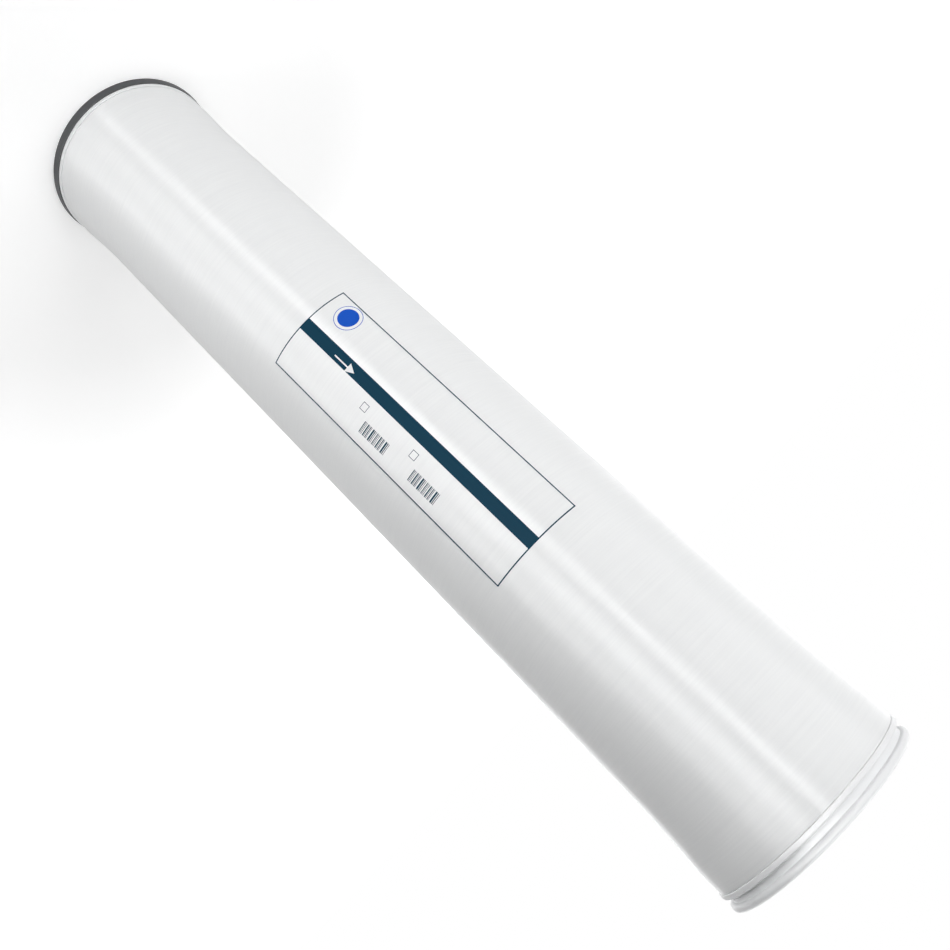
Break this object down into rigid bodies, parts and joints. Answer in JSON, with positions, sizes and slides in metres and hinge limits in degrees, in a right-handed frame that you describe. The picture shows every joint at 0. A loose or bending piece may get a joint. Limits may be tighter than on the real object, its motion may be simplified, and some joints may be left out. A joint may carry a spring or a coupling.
{
  "type": "spiral-wound reverse osmosis membrane element",
  "caption": "White glass-fibre cylinder holding a rolled membrane scroll round a permeate tube, with a spoked end cap at each end and a rubber brine seal.",
  "frame": {"origin": "centre of the feed end cap's face, on the element's axis, at the bottom of the bounding box", "axes": "+Z along the element from the feed end to the concentrate end, which is the way the water flows; +X out through the middle of the label"},
  "size_m": [0.2042, 0.2042, 1.016],
  "materials": {
    "glass_fibre_resin": "glass-fibre wound in clear and white resin, semi-gloss",
    "cap_plastic": "moulded white plastic, satin",
    "tube_plastic": "extruded plastic, machined seats",
    "seal_rubber": "black moulded rubber",
    "tape_film": "clear tape",
    "label_film": "printed film, white with navy outline and band",
    "membrane_film": "polyester-backed membrane sheet",
    "spacer_net": "extruded diamond net",
    "carrier_cloth": "ribbed tricot cloth"
  },
  "bodies": {
    "root": {"permeate_tube": "tube_plastic", "feed_end_cap": "cap_plastic", "concentrate_end_cap": "cap_plastic", "brine_seal": "seal_rubber", "fibreglass_shell": "glass_fibre_resin", "outer_tape": "tape_film", "label": "label_film", "membrane_sheet_1": "membrane_film", "feed_spacer_1": "spacer_net", "permeate_carrier_1": "carrier_cloth", "membrane_sheet_2": "membrane_film", "feed_spacer_2": "spacer_net", "permeate_carrier_2": "carrier_cloth", "membrane_sheet_3": "membrane_film", "feed_spacer_3": "spacer_net", "permeate_carrier_3": "carrier_cloth", "membrane_sheet_4": "membrane_film", "feed_spacer_4": "spacer_net", "permeate_carrier_4": "carrier_cloth", "membrane_sheet_5": "membrane_film", "feed_spacer_5": "spacer_net", "permeate_carrier_5": "carrier_cloth", "membrane_sheet_6": "membrane_film", "feed_spacer_6": "spacer_net", "permeate_carrier_6": "carrier_cloth"}
  },
  "joints": []
}
